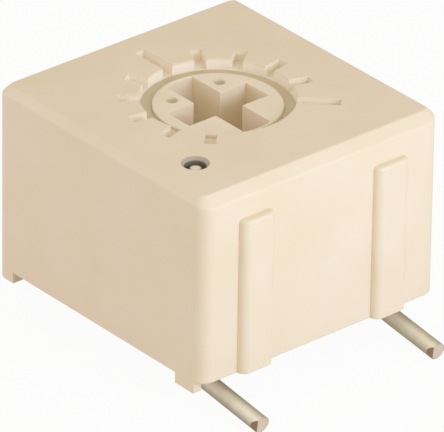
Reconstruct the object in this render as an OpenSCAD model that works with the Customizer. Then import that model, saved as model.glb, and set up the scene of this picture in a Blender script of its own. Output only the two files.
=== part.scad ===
// Square single-turn cermet trimmer potentiometer with three formed wire leads.
// Millimetres, +Z up. Origin on the rotor axis in the plane of the board that
// the leads rest on; the ribbed face with two leads looks along -Y.

/* [Body] */
// Body width, left face to right face
body_w = 6.80; // [6.60:0.05:8.20]
// Body depth, ribbed face to rear face without the ribs
body_d = 7.10; // [6.90:0.05:8.60]
// Body height from its lower rim to its top face, feet not counted
body_h = 4.55; // [4.30:0.05:5.50]
// Radius of the four upright corners
corner_r = 0.35; // [0.15:0.05:0.45]
// Chamfer along the top edge of the ribbed and rear faces
chamfer_front = 0.24; // [0.10:0.01:0.34]
// Chamfer along the top edge of the left and right faces
chamfer_side = 0.17; // [0.10:0.01:0.34]
// Thickness of the four side walls at the open underside
wall_t = 0.45; // [0.35:0.05:0.50]
// Thickness of the top plate over the rotor flange
plate_t = 1.00; // [0.95:0.05:1.15]
// Height of the round rotor chamber under the top plate
chamber_h = 1.45; // [1.40:0.05:1.60]
// Room round the rotor flange in its chamber, for the stop lug
chamber_gap = 0.50; // [0.40:0.02:0.60]

/* [Ribs and feet] */
// Distance of each rib's inner side from the middle of the face
rib_in = 1.45; // [1.20:0.05:1.70]
// Width of each upright rib
rib_w = 0.93; // [0.60:0.01:1.20]
// How far each rib stands proud of its face, also its edge radius
rib_proud = 0.20; // [0.10:0.01:0.28]
// Height of each rib above the lower rim
rib_h = 3.80; // [3.00:0.05:4.00]
// Width of the two rear feet, along the rear face
foot_w = 0.34; // [0.25:0.01:0.42]
// Width of the two front feet, along the ribbed face
foot_w_front = 0.22; // [0.18:0.01:0.42]
// Length of each foot, front to rear
foot_l = 0.62; // [0.40:0.01:0.80]
// Height of each foot below the lower rim
foot_h = 0.28; // [0.15:0.01:0.34]
// Setback of the left front foot from the ribbed face
foot_set_left = 0.25; // [0.05:0.05:0.60]
// Setback of the right front foot from the ribbed face
foot_set_right = 0.50; // [0.05:0.05:0.60]

/* [Dial] */
// Width of the ring recess round the rotor head
moat_w = 0.24; // [0.12:0.01:0.40]
// Depth of the ring recess and of its grooves
dial_depth = 0.27; // [0.15:0.01:0.35]
// Number of radial grooves round the dial
groove_n = 11; // [3:2:13]
// Angle between the first and the last groove, degrees
groove_sweep = 270; // [180:5:280]
// Width of each radial groove
groove_w = 0.27; // [0.15:0.01:0.32]
// Length of each short groove beyond the ring recess
groove_short = 0.46; // [0.20:0.02:0.60]
// Length of each long groove beyond the ring recess
groove_long = 0.96; // [0.60:0.02:1.04]
// Radius of the hole for a test probe
probe_r = 0.25; // [0.22:0.01:0.30]
// Lead-in bevel round the mouth of the probe hole
probe_bevel = 0.07; // [0.04:0.01:0.12]
// Distance from the long wire's centre to the probe hole's centre, to the right
probe_dx = 0.18; // [0.00:0.01:0.20]
// Distance from the long wire's centre to the probe hole's centre, to the rear
probe_dy = 0.01; // [0.00:0.01:0.10]

/* [Rotor] */
// Radius of the rotor head in the dial opening
head_r = 1.45; // [1.36:0.01:1.46]
// Depth of the rotor face below the top face of the body
head_drop = 0.20; // [0.10:0.01:0.26]
// Gap between the rotor head and its bore, each side
head_gap = 0.05; // [0.02:0.01:0.08]
// Overhang of the retaining flange past the rotor head
flange_over = 0.60; // [0.50:0.01:0.66]
// Thickness of the flange
flange_t = 0.65; // [0.50:0.05:0.70]
// Running gap above the flange
flange_gap = 0.05; // [0.02:0.01:0.08]
// Rim left between the round ends of the slot's long arm and the edge of the head
slot_rim = 0.07; // [0.06:0.01:0.40]
// Width of each arm of the cross slot
slot_w = 0.76; // [0.40:0.02:0.80]
// Full length of the slot's short arm, across the pointing arm
slot_short = 2.26; // [1.60:0.02:2.50]
// Depth of the cross slot
slot_h = 1.20; // [0.60:0.05:1.30]
// Half of the angle the rotor turns through between its stops, degrees
turn_half = 135; // [120:1:140]
// Half of the angle the stop lug takes up, degrees
lug_half = 13; // [8:1:20]
// Angle left free at each stop, degrees
stop_play = 0.5; // [0.3:0.1:2.0]

/* [Seal and spring] */
// Radius of the seal ring's round section
seal_r = 0.19; // [0.15:0.01:0.19]
// Gap between the seal ring and the rotor neck
seal_gap = 0.01; // [0.01:0.01:0.03]
// Thickness of the wiper spring sheet
spring_t = 0.08; // [0.05:0.01:0.12]
// Radius of each rounded wiper contact
contact_r = 0.07; // [0.05:0.01:0.09]
// Gap left between a contact and the film it slides on
contact_gap = 0.01; // [0.005:0.005:0.03]

/* [Element] */
// Thickness of the ceramic substrate
sub_t = 0.65; // [0.50:0.05:0.80]
// Gap between the substrate and the side walls
sub_gap = 0.05; // [0.03:0.01:0.10]
// Inner radius of the resistive track
track_in = 1.55; // [1.45:0.05:1.60]
// Outer radius of the resistive track
track_out = 2.05; // [1.95:0.05:2.10]
// Half of the angle the resistive track covers, degrees
track_half = 140; // [130:1:145]
// Thickness of each fired film
film_t = 0.03; // [0.02:0.01:0.04]
// Recess of the potting compound above the lower rim
pot_recess = 0.20; // [0.15:0.01:0.40]

/* [Leads] */
// Distance between the two front leads
lead_pitch = 5.08; // [5.00:0.02:5.12]
// Diameter of each round wire lead
lead_d = 0.40; // [0.34:0.01:0.44]
// Height of the lower rim of the body above the board
stand = 0.97; // [0.85:0.01:1.10]
// Distance that each lead reaches past its face of the body
lead_out = 1.04; // [0.70:0.01:2.00]
// Downward slope of the straight part of a lead, degrees
lead_slope = 8; // [4:1:12]
// Bend radius of a lead, to the wire's centre
bend_r = 0.45; // [0.35:0.05:0.50]
// Setback of the two front leads' upright parts from the ribbed face
root_set_front = 1.50; // [1.40:0.01:1.60]
// Setback of the rear lead's upright part from the rear face
root_set_rear = 0.90; // [0.84:0.01:1.10]

/* [Hidden] */
$fn = 96;
e = 0.4;
lap = 0.02;
thin = 0.004;
lead_r = lead_d / 2;
z_rim = stand;
z_top = z_rim + body_h;
z_plate = z_top - plate_t;
z_sub = z_plate - chamber_h;
z_sub_low = z_sub - sub_t;
z_pot = z_rim + pot_recess;
z_dial = z_top - dial_depth;
z_face = z_top - head_drop;
bore_r = head_r + head_gap;
dial_r = bore_r + moat_w;
slot_l = 2 * (head_r - slot_rim);
head_edge = 0.02;
flange_r = head_r + flange_over;
chamber_r = flange_r + chamber_gap;
flange_top = z_plate - flange_gap;
flange_low = flange_top - flange_t;
hub_r = head_r - 0.25;
hub_low = z_sub + 0.45;
seal_R = head_r + seal_gap + seal_r;
seal_pocket_r = seal_R + seal_r;
seal_pocket_h = 2 * seal_r + 0.02;
cavity_w = body_w - 2 * wall_t;
cavity_d = body_d - 2 * wall_t;
cavity_r = 0.20;
stop_in = flange_r + 0.08;
lug_out = chamber_r - 0.06;
stop_half = 180 - turn_half - lug_half - stop_play;
root_front = body_d / 2 - root_set_front;
root_rear = body_d / 2 - root_set_rear;
lead_reach = body_d / 2 + lead_out;
probe_x = lead_pitch / 2 - probe_dx;
probe_y = root_front - probe_dy;
probe_depth = 0.60;
probe_point = z_top - 0.12;
wire_end = z_top - 0.48;
socket_r = lead_r + 0.03;
hole_r = lead_r + 0.08;
line_r = lead_r + 0.04;
pad_r = hole_r + 0.16;
pad_edge = 0.04;
pocket_gap = 0.08;
pocket_h = 0.30;
fillet_h = 0.32;
collector_r = 0.70;
via_r = 0.18;
strip_w = 0.46;
peg_r = 0.11;
washer_out = hub_r - 0.04;
washer_in = hub_r - 0.54;
peg_x = (washer_in + washer_out) / 2;
contact_z = z_sub + film_t + contact_gap + contact_r;
dimple_R = 0.16;
dimple_r = 0.13;
dimple_x = 0.68;
dimple_y = 0.755;
tip_z = lead_r * cos(lead_slope);

// centre of each lead's upright part
function lead_at(n) = n == 2 ? [0, root_rear] : [(n - 2) * lead_pitch / 2, -root_front];
// middle of the film at one end of the track; side -1 left, 1 right
function track_end(side) =
    (track_out - 0.10) * [side * sin(track_half + 7), cos(track_half + 7)];

// ---- plan outlines -------------------------------------------------------

// rectangle with round corners, centred
module round_rect(w, d, r) {
    square([w - 2 * r, d], center = true);
    square([w, d - 2 * r], center = true);
    for (sx = [-1, 1], sy = [-1, 1])
        translate([sx * (w / 2 - r), sy * (d / 2 - r)]) circle(r = r);
}

// solid sector of a ring, from angle a0 over sweep
module ring_sector(r0, r1, z, h, a0, sweep) {
    rotate([0, 0, a0])
        rotate_extrude(angle = sweep)
            translate([r0, z]) square([r1 - r0, h]);
}

// ---- housing -------------------------------------------------------------

// outer block: plan outline, cut to both chamfered side profiles
module block() {
    intersection() {
        translate([0, 0, z_rim])
            linear_extrude(height = body_h) round_rect(body_w, body_d, corner_r);
        rotate([90, 0, 0]) translate([0, 0, -body_d])
            linear_extrude(height = 2 * body_d)
                polygon([[-body_w / 2 - e, z_rim - e], [body_w / 2 + e, z_rim - e],
                         [body_w / 2 + e, z_top - chamfer_side - e],
                         [body_w / 2 - chamfer_side, z_top], [-body_w / 2 + chamfer_side, z_top],
                         [-body_w / 2 - e, z_top - chamfer_side - e]]);
        rotate([90, 0, 90]) translate([0, 0, -body_w])
            linear_extrude(height = 2 * body_w)
                polygon([[-body_d / 2 - e, z_rim - e], [body_d / 2 + e, z_rim - e],
                         [body_d / 2 + e, z_top - chamfer_front - e],
                         [body_d / 2 - chamfer_front, z_top], [-body_d / 2 + chamfer_front, z_top],
                         [-body_d / 2 - e, z_top - chamfer_front - e]]);
    }
}

// one upright rib on the front face, outer edges rounded
module rib(side) {
    x_mid = side * (rib_in + rib_w / 2);
    translate([x_mid, -body_d / 2, z_rim])
        linear_extrude(height = rib_h) {
            translate([-rib_w / 2, 0]) square([rib_w, e / 2]);
            translate([-rib_w / 2 + rib_proud, -rib_proud])
                square([rib_w - 2 * rib_proud, rib_proud + e / 2]);
            for (s = [-1, 1])
                intersection() {
                    translate([s * (rib_w / 2 - rib_proud), 0]) circle(r = rib_proud);
                    translate([-rib_w, -rib_w]) square([2 * rib_w, rib_w + e / 2]);
                }
        }
}

// feet: the plan outline at the corners, carried down below the rim
module feet() {
    front = -body_d / 2;
    translate([0, 0, z_rim - foot_h])
        linear_extrude(height = foot_h + e)
            intersection() {
                round_rect(body_w, body_d, corner_r);
                union() {
                    translate([-body_w / 2, front + foot_set_left]) square([foot_w_front, foot_l]);
                    translate([body_w / 2 - foot_w_front, front + foot_set_right])
                        square([foot_w_front, foot_l]);
                    for (s = [-1, 1])
                        translate([s * (body_w / 2 - foot_w / 2), body_d / 2 - foot_l / 2])
                            square([foot_w, foot_l], center = true);
                }
            }
}

// dial recess: round opening with radial grooves; first, middle and last are
// the ends and the centre of the scale, the last stays short beside the hole
module dial_outline() {
    circle(r = dial_r);
    for (i = [0 : groove_n - 1]) {
        reach = dial_r + ((i == 0 || i == (groove_n - 1) / 2) ? groove_long : groove_short);
        rotate([0, 0, 90 - groove_sweep / 2 + i * groove_sweep / (groove_n - 1)])
            translate([0, -groove_w / 2]) square([reach, groove_w]);
    }
}

// space in the ledge above a front lead's film pad, open to the chamber
module lead_pocket(side) {
    at = lead_at(side + 2);
    to = track_end(side) - at;
    translate([at[0], at[1], z_sub]) {
        cylinder(r = pad_r + pocket_gap, h = pocket_h);
        rotate([0, 0, atan2(to[1], to[0])])
            translate([0, -strip_w / 2 - pocket_gap, 0])
                cube([norm(to), strip_w + 2 * pocket_gap, pocket_h]);
    }
}

module housing() {
    color([0.93, 0.87, 0.77]) {
        difference() {
            union() {
                block();
                rib(-1);
                rib(1);
                feet();
            }
            // dial recess, rotor bore and the seal's pocket under the plate
            translate([0, 0, z_dial]) linear_extrude(height = dial_depth + e) dial_outline();
            translate([0, 0, z_plate - e]) cylinder(r = bore_r, h = plate_t + e);
            translate([0, 0, z_plate - e]) cylinder(r = seal_pocket_r, h = e + seal_pocket_h);
            // rotor chamber and the open underside
            translate([0, 0, z_sub - e]) cylinder(r = chamber_r, h = chamber_h + e);
            translate([0, 0, z_rim - foot_h - e])
                linear_extrude(height = z_sub - z_rim + foot_h + e)
                    round_rect(cavity_w, cavity_d, cavity_r);
            // pockets over the front leads, probe hole and the long wire's socket
            lead_pocket(-1);
            lead_pocket(1);
            translate([-probe_x, -probe_y, z_top - probe_depth])
                cylinder(r = probe_r, h = probe_depth + e);
            translate([-probe_x, -probe_y, z_top - probe_bevel])
                cylinder(r1 = probe_r, r2 = probe_r + 2 * probe_bevel, h = 2 * probe_bevel);
            translate([-lead_pitch / 2, -root_front, z_sub])
                cylinder(r = socket_r, h = wire_end + 0.02 - z_sub);
        }
        // stop rib in the chamber, at the front
        ring_sector(stop_in, chamber_r + 0.1, z_sub + 0.60, z_plate - z_sub - 0.60 + 0.1,
                    270 - stop_half, 2 * stop_half);
    }
}

// ---- rotor ---------------------------------------------------------------

module rotor() {
    color([0.90, 0.85, 0.74])
    difference() {
        union() {
            rotate_extrude()
                polygon([[0, hub_low], [hub_r, hub_low], [hub_r, flange_low],
                         [flange_r, flange_low], [flange_r, flange_top], [head_r, flange_top],
                         [head_r, z_face - head_edge], [head_r - head_edge, z_face], [0, z_face]]);
            ring_sector(flange_r - 0.1, lug_out, flange_low, flange_t,
                        90 - lug_half, 2 * lug_half);
            for (s = [-1, 1])
                translate([s * peg_x, 0, hub_low - spring_t - 0.05])
                    cylinder(r = peg_r, h = spring_t + 0.1);
        }
        // cross slot for the screwdriver; the long arm's ends follow the head's edge
        translate([-slot_short / 2, -slot_w / 2, z_face - slot_h])
            cube([slot_short, slot_w, slot_h + e]);
        intersection() {
            translate([0, 0, z_face - slot_h]) cylinder(r = slot_l / 2, h = slot_h + e);
            translate([-slot_w / 2, -slot_l / 2, z_face - slot_h])
                cube([slot_w, slot_l, slot_h + e]);
        }
        // two dimples beside the pointing arm
        for (s = [-1, 1])
            translate([s * dimple_x, dimple_y,
                       z_face + sqrt(dimple_R * dimple_R - dimple_r * dimple_r)])
                rotate([90, 0, 0]) sphere(r = dimple_R);
    }
}

module seal_ring() {
    color([0.78, 0.30, 0.18])
    translate([0, 0, z_plate + seal_r + 0.01])
        rotate_extrude() translate([seal_R, 0]) circle(r = seal_r, $fn = 32);
}

// spring sheet under the rotor: a washer with an outer and an inner arm, each
// ending in a rounded contact
module spring_arm(y0, y1, w, n) {
    z0 = hub_low - spring_t / 2;
    run = y1 - y0;
    drop = contact_z - z0;
    len = sqrt(run * run + drop * drop);
    pitch = w / n;
    for (i = [0 : n - 1])
        translate([(i - (n - 1) / 2) * pitch, 0, 0]) {
            translate([0, y0, z0]) rotate([atan2(drop, run), 0, 0])
                translate([-0.35 * pitch, 0, -spring_t / 2])
                    cube([0.70 * pitch, len, spring_t]);
            translate([-0.35 * pitch, y1, contact_z]) rotate([0, 90, 0])
                cylinder(r = contact_r, h = 0.70 * pitch, $fn = 48);
        }
}

module wiper_spring() {
    color([0.80, 0.62, 0.32])
    difference() {
        union() {
            translate([0, 0, hub_low - spring_t]) difference() {
                cylinder(r = washer_out, h = spring_t);
                translate([0, 0, -e]) cylinder(r = washer_in, h = spring_t + 2 * e);
            }
            spring_arm(washer_out - 0.16, (track_in + track_out) / 2, 0.84, 4);
            mirror([0, 1, 0]) spring_arm(washer_in + 0.14, 0.00, 0.45, 3);
        }
        for (s = [-1, 1])
            translate([s * peg_x, 0, hub_low - spring_t - e])
                cylinder(r = peg_r + 0.01, h = spring_t + 2 * e);
    }
}

// ---- element -------------------------------------------------------------

// plan of the substrate, less a margin all round
module plate_outline(margin) {
    in = sub_gap + margin;
    round_rect(cavity_w - 2 * in, cavity_d - 2 * in, cavity_r - in);
}

module substrate() {
    color([0.94, 0.94, 0.91])
    difference() {
        translate([0, 0, z_sub_low]) linear_extrude(height = sub_t) plate_outline(0);
        for (n = [1, 2, 3])
            translate([lead_at(n)[0], lead_at(n)[1], z_sub_low - e])
                cylinder(r = hole_r, h = sub_t + 2 * e);
        translate([0, 0, z_sub_low - e]) cylinder(r = via_r, h = sub_t + 2 * e);
    }
}

module resistive_track() {
    color([0.16, 0.15, 0.17])
    ring_sector(track_in, track_out, z_sub, film_t, 90 - track_half, 2 * track_half);
}

// round pad at a lead, cut off where it would run past the substrate's margin
module pad_outline(n, r) {
    intersection() {
        translate([lead_at(n)[0], lead_at(n)[1]]) circle(r = r);
        plate_outline(pad_edge);
    }
}

// plated lining of a lead hole with the ring pad under the substrate
module hole_lining(n) {
    difference() {
        union() {
            translate([lead_at(n)[0], lead_at(n)[1], z_sub_low - film_t])
                cylinder(r = hole_r, h = sub_t + film_t);
            translate([0, 0, z_sub_low - film_t])
                linear_extrude(height = film_t) pad_outline(n, pad_r);
        }
        translate([lead_at(n)[0], lead_at(n)[1], z_sub_low - e])
            cylinder(r = line_r, h = sub_t + 2 * e);
    }
}

// film from one end of the track to its lead hole; side -1 left, 1 right
module end_pad(side) {
    n = side + 2;
    at = lead_at(n);
    to = track_end(side) - at;
    color([0.80, 0.79, 0.76]) {
        difference() {
            translate([0, 0, z_sub]) linear_extrude(height = film_t) {
                pad_outline(n, pad_r);
                translate(at) rotate([0, 0, atan2(to[1], to[0])])
                    translate([0, -strip_w / 2]) square([norm(to), strip_w]);
            }
            translate([0, 0, z_sub - e]) cylinder(r = track_out + 0.04, h = 2 * e);
            translate([at[0], at[1], z_sub - e]) cylinder(r = line_r, h = 2 * e);
        }
        ring_sector(track_in, track_out + 0.05, z_sub, film_t,
                    side < 0 ? 90 + track_half : 90 - track_half - 14, 14);
        hole_lining(n);
    }
}

module end_pad_1() {
    end_pad(-1);
}

module end_pad_3() {
    end_pad(1);
}

// inner contact disc, the filled hole under it and the strip to the rear lead
module collector() {
    color([0.80, 0.79, 0.76]) {
        translate([0, 0, z_sub]) cylinder(r = collector_r, h = film_t);
        translate([0, 0, z_sub_low - film_t]) cylinder(r = via_r, h = sub_t + 2 * film_t);
        difference() {
            translate([-strip_w / 2, -strip_w / 2, z_sub_low - film_t])
                cube([strip_w, root_rear + strip_w / 2, film_t]);
            translate([0, root_rear, z_sub_low - e]) cylinder(r = line_r, h = 2 * e);
        }
        hole_lining(2);
    }
}

// ---- leads, solder, potting ----------------------------------------------

// round wire: upright part, bend, straight part sloping down to a sheared tip;
// the wire draws down a little in the bend
module lead_wire(root, z_end) {
    turn = 90 - lead_slope;
    end_y = -root - bend_r + bend_r * cos(turn);
    end_z = tip_z + (lead_reach + end_y) * tan(lead_slope);
    c_z = end_z + bend_r * sin(turn);
    run = (lead_reach + end_y) / sin(turn);
    translate([0, -root, c_z - lap]) cylinder(r = lead_r, h = z_end - c_z + lap);
    translate([0, -root - bend_r, c_z]) rotate([90, 0, 90]) rotate([0, 0, -turn])
        rotate_extrude(angle = turn) translate([bend_r, 0]) circle(r = lead_r - thin, $fn = 48);
    translate([0, end_y, end_z]) rotate([90 + lead_slope, 0, 0])
        difference() {
            translate([0, 0, -lap]) cylinder(r = lead_r, h = run + lap);
            translate([-0.6 * lead_r, 0, run]) rotate([0, -60, 0])
                translate([-1, -0.5, 0]) cube([1.5, 1, 0.5]);
        }
}

// the left front lead goes on up to a point set over into the probe hole
module terminal_1() {
    color([0.80, 0.74, 0.62]) {
        translate([-lead_pitch / 2, 0, 0]) lead_wire(root_front, wire_end);
        translate([-probe_x, -probe_y, wire_end - 0.08])
            cylinder(r = lead_r, h = probe_point - wire_end + 0.08);
    }
}

module terminal_2() {
    color([0.80, 0.74, 0.62])
    rotate([0, 0, 180]) lead_wire(root_rear, z_sub - 0.02);
}

module terminal_3() {
    color([0.80, 0.74, 0.62])
    translate([lead_pitch / 2, 0, 0]) lead_wire(root_front, z_sub + 0.12);
}

// cone of solder below a pad, kept inside the substrate's margin
module fillet_cone(n) {
    intersection() {
        translate([lead_at(n)[0], lead_at(n)[1], z_sub_low - film_t - fillet_h])
            cylinder(r1 = lead_r + 0.03, r2 = pad_r - 0.02, h = fillet_h);
        translate([0, 0, z_sub_low - 1]) linear_extrude(height = 1) plate_outline(pad_edge);
    }
}

// solder in a plated hole with the fillet below the substrate
module solder(n) {
    x = lead_at(n)[0];
    y = lead_at(n)[1];
    color([0.72, 0.72, 0.73])
    difference() {
        union() {
            translate([x, y, z_sub_low - film_t]) cylinder(r = line_r, h = sub_t + film_t);
            fillet_cone(n);
        }
        translate([x, y, z_sub_low - 1]) cylinder(r = lead_r, h = sub_t + 2);
    }
}

module solder_1() {
    solder(1);
}

module solder_2() {
    solder(2);
}

module solder_3() {
    solder(3);
}

// sealing compound that fills the underside round the leads
module potting() {
    color([0.20, 0.17, 0.13])
    difference() {
        translate([0, 0, z_pot])
            linear_extrude(height = z_sub_low - z_pot) round_rect(cavity_w, cavity_d, cavity_r);
        for (n = [1, 2, 3]) {
            translate([lead_at(n)[0], lead_at(n)[1], z_pot - e])
                cylinder(r = lead_r, h = z_sub_low - z_pot + 2 * e);
            fillet_cone(n);
            translate([0, 0, z_sub_low - film_t])
                linear_extrude(height = film_t + e) pad_outline(n, pad_r);
        }
        translate([-strip_w / 2, -strip_w / 2, z_sub_low - film_t])
            cube([strip_w, root_rear + strip_w / 2, film_t + e]);
    }
}

housing();
rotor();
seal_ring();
wiper_spring();
substrate();
resistive_track();
end_pad_1();
end_pad_3();
collector();
terminal_1();
terminal_2();
terminal_3();
solder_1();
solder_2();
solder_3();
potting();
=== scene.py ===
import math

import bmesh
import bpy
from mathutils import Matrix, Vector


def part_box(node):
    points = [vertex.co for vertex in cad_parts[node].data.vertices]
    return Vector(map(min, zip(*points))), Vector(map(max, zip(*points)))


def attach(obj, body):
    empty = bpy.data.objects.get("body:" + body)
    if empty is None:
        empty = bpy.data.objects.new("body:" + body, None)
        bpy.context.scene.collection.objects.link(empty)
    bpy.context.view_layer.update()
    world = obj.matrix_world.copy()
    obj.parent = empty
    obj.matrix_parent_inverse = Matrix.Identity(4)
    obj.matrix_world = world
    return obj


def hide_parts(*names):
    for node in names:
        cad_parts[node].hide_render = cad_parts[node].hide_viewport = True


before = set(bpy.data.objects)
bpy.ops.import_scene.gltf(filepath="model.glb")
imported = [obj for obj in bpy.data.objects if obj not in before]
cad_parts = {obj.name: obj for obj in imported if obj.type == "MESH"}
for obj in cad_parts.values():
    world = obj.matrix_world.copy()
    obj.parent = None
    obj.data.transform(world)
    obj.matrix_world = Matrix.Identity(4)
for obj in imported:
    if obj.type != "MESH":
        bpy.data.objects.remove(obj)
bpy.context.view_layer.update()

# Pieces are modelled in millimetres and brought to metres as they are finished.
MM = 0.001

# ---- sizes, in millimetres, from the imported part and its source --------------

shell_low, shell_high = (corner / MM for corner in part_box("housing"))

HALF_W = shell_high.x                # half of the body's width
HALF_D = shell_high.y                # half of the body's depth, ribs not counted
Z_TOP = shell_high.z
FOOT_H = 0.28
Z_RIM = shell_low.z + FOOT_H         # lower rim of the walls, where the feet start
CORNER_R = 0.35
CHAMFER_FRONT, CHAMFER_SIDE = 0.24, 0.17
WALL_T, CAVITY_R = 0.45, 0.20
Z_PLATE = Z_TOP - 1.00               # underside of the top plate
Z_SUB = Z_PLATE - 1.45               # upper face of the substrate

RIB_IN, RIB_W, RIB_PROUD, RIB_H = 1.45, 0.93, 0.20, 3.80
FOOT_W, FOOT_W_FRONT, FOOT_L = 0.34, 0.22, 0.62
FOOT_SET_LEFT, FOOT_SET_RIGHT = 0.25, 0.50

HEAD_R, HEAD_DROP, HEAD_GAP = 1.45, 0.20, 0.05
BORE_R = HEAD_R + HEAD_GAP
DIAL_R = BORE_R + 0.24
DIAL_DEPTH = 0.27
Z_DIAL = Z_TOP - DIAL_DEPTH          # floor of the dial and of its grooves
Z_FACE = Z_TOP - HEAD_DROP           # face of the rotor's head
GROOVES, GROOVE_SWEEP, GROOVE_W = 11, math.radians(270), 0.27
GROOVE_SHORT, GROOVE_LONG = 0.46, 0.96
GROOVE_START = BORE_R + 0.10         # inner end of a groove's cutter, inside the dial
BORE_LIP_GAP = 0.006                 # from the rotor's head to the lip at the bore's mouth
BORE_LIP_H, BORE_LIP_SLOPE = 0.10, 0.04

FLANGE_R, FLANGE_TOP, FLANGE_LOW = HEAD_R + 0.60, Z_PLATE - 0.05, Z_PLATE - 0.70
CHAMBER_R = FLANGE_R + 0.50
HUB_R, HUB_LOW = HEAD_R - 0.25, Z_SUB + 0.45
PEG_X, PEG_R, PEG_L = 0.91, 0.11, 0.13
SEAL_POCKET_R, SEAL_POCKET_H = HEAD_R + 0.01 + 0.38, 0.40
SLOT_W, SLOT_LONG_R, SLOT_SHORT, SLOT_H = 0.76, 1.38, 2.26, 1.20
DIMPLE_X, DIMPLE_Y, DIMPLE_R, DIMPLE_BALL = 0.68, 0.755, 0.13, 0.145
DIMPLE_OVER = 0.008                  # how far the dimples' cutter stands above the face
LUG_HALF, LUG_GAP = 13, 0.06         # half its angle in degrees; its gap to the chamber's wall
STOP_HALF, STOP_GAP = 31.5, 0.08     # half its angle in degrees; its gap to the flange
STOP_LOW = Z_SUB + 0.6

LEAD_R, BEND_R = 0.20, 0.45
LEAD_X, ROOT_FRONT, ROOT_REAR = 2.54, HALF_D - 1.50, HALF_D - 0.90
LEAD_REACH = HALF_D + 1.04
LEAD_SLOPE = math.radians(8)
TOP_REAR, TOP_RIGHT = Z_SUB - 0.02, Z_SUB + 0.12     # upper ends of the two shorter leads
WIRE_END, PROBE_POINT = Z_TOP - 0.48, Z_TOP - 0.12   # where the long one is set over, and ends
SET_OVER_H = 0.4                     # height in which it comes over
PROBE_X, PROBE_Y, PROBE_R, PROBE_DEPTH = LEAD_X - 0.18, ROOT_FRONT - 0.01, 0.25, 0.60
PROBE_BEVEL = 0.07
SOCKET_R, SOCKET_TOP = LEAD_R + 0.03, WIRE_END + 0.02
POCKET_R, POCKET_HALF_W, POCKET_H = 0.52, 0.31, 0.30      # room over a front lead's film
POCKET_END_R, POCKET_END_TURN = 1.95, math.radians(147)   # where that film meets the track

# ---- edges, and how pieces are made; lengths in millimetres ------------------

LIP = 0.02                           # rounding of the fine edges, at the mouths of the recesses
EDGE = 0.03                          # rounding of the outer edges
CHAMFER_ROUND = EDGE / math.tan(math.radians(22.5))     # its radius, where a face turns by 45
RIB_TOP_SHARE = 3.0                  # the tops of the ribs are rounder by this
TOP_END_ROUND = 0.09                 # rounding of the long lead's upper end
WIRE_SPARE = 0.001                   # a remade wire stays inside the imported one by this
FACET_OFF = 0.6                      # of a tip's radius: where its slanted facet starts
FACET_TURN = math.radians(30)        # between that facet and the wire
COPPER_SHARE = 0.45                  # how much copper shows on the rest of the tip
OVER = 0.1                           # how far a cutter runs past the face that it opens
WIDE, DEEP = 5, 1                    # the same for the one that clears between the feet
BLOCK_WELD, WELD = 0.003, 0.002      # points nearer than this become one
CIRCLE_DIAL, CIRCLE_HEAD, CIRCLE, CIRCLE_SMALL = 240, 192, 96, 48       # steps in a circle
ARC, ARC_STOP, BEND_STEPS = 12, 24, 16                  # steps in a corner, the stop, a bend
SOFT_TURN = math.radians(24)         # edges that turn by more are rounded
SHARP_TURN = math.radians(40)        # edges that turn by more stay sharp in the shading

# Directions from an axis, in the frame's own axes.
LIT_SIDE = (-0.65, -0.76, 0.0)         # where the painted shade on the dial's floor fades out
HIGHLIGHT_SIDE = (-0.60, -0.10, 0.79)    # where a lead carries its painted highlight, as on its far side

# The four corners of a rectangle, anticlockwise: two signs, and the angle where its arc starts.
CORNERS = (1, 1, 0), (-1, 1, 90), (-1, -1, 180), (1, -1, 270)


# ---- making solids -----------------------------------------------------------

def new_piece(name, shape):
    """Object in the scene with the shape as its mesh; the shape is used up."""
    mesh = bpy.data.meshes.new(name)
    shape.to_mesh(mesh)
    shape.free()
    piece = bpy.data.objects.new(name, mesh)
    bpy.context.scene.collection.objects.link(piece)
    return piece


def arc(centre, radius, start, end, steps):
    """Points along an arc, angles in degrees."""
    turns = [math.radians(start + (end - start) * i / steps) for i in range(steps + 1)]
    return [(centre[0] + radius * math.cos(t), centre[1] + radius * math.sin(t)) for t in turns]


def circle(radius, steps, centre=(0, 0)):
    """Closed ring of points, anticlockwise."""
    return arc(centre, radius, 0, 360, steps)[:-1]


def rounded(half_w, half_d, radius):
    """Rectangle with round corners, anticlockwise."""
    outline = []
    for sx, sy, start in CORNERS:
        centre = (sx * (half_w - radius), sy * (half_d - radius))
        outline += arc(centre, radius, start, start + 90, ARC)
    return outline


def lofted(name, layers):
    """Closed solid through anticlockwise rings of (x, y, z) with equal counts, lowest first."""
    shape = bmesh.new()
    rings = [[shape.verts.new(point) for point in layer] for layer in layers]
    shape.faces.new(rings[0][::-1])
    shape.faces.new(rings[-1])
    for below, above in zip(rings, rings[1:]):
        for i in range(len(below)):
            j = (i + 1) % len(below)
            shape.faces.new((below[i], below[j], above[j], above[i]))
    return new_piece(name, shape)


def prism(name, outline, low, high):
    """Upright solid over an anticlockwise outline."""
    return lofted(name, [[(x, y, z) for x, y in outline] for z in (low, high)])


def box(name, low, high):
    """Square-cornered block between two opposite corners."""
    (x0, y0, z0), (x1, y1, z1) = low, high
    return prism(name, [(x0, y0), (x1, y0), (x1, y1), (x0, y1)], z0, z1)


def grow_outline(outline, by):
    """The same anticlockwise outline, each side set outwards."""
    grown_outline = []
    for before, at, after in zip(outline[-1:] + outline, outline, outline[1:] + outline[:1]):
        sides = [Vector(q) - Vector(p) for p, q in ((before, at), (at, after))]
        outs = [Vector((side.y, -side.x)).normalized() for side in sides]
        mitre = (outs[0] + outs[1]) / (1 + outs[0].dot(outs[1]))
        grown_outline.append((at[0] + mitre.x * by, at[1] + mitre.y * by))
    return grown_outline


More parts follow.
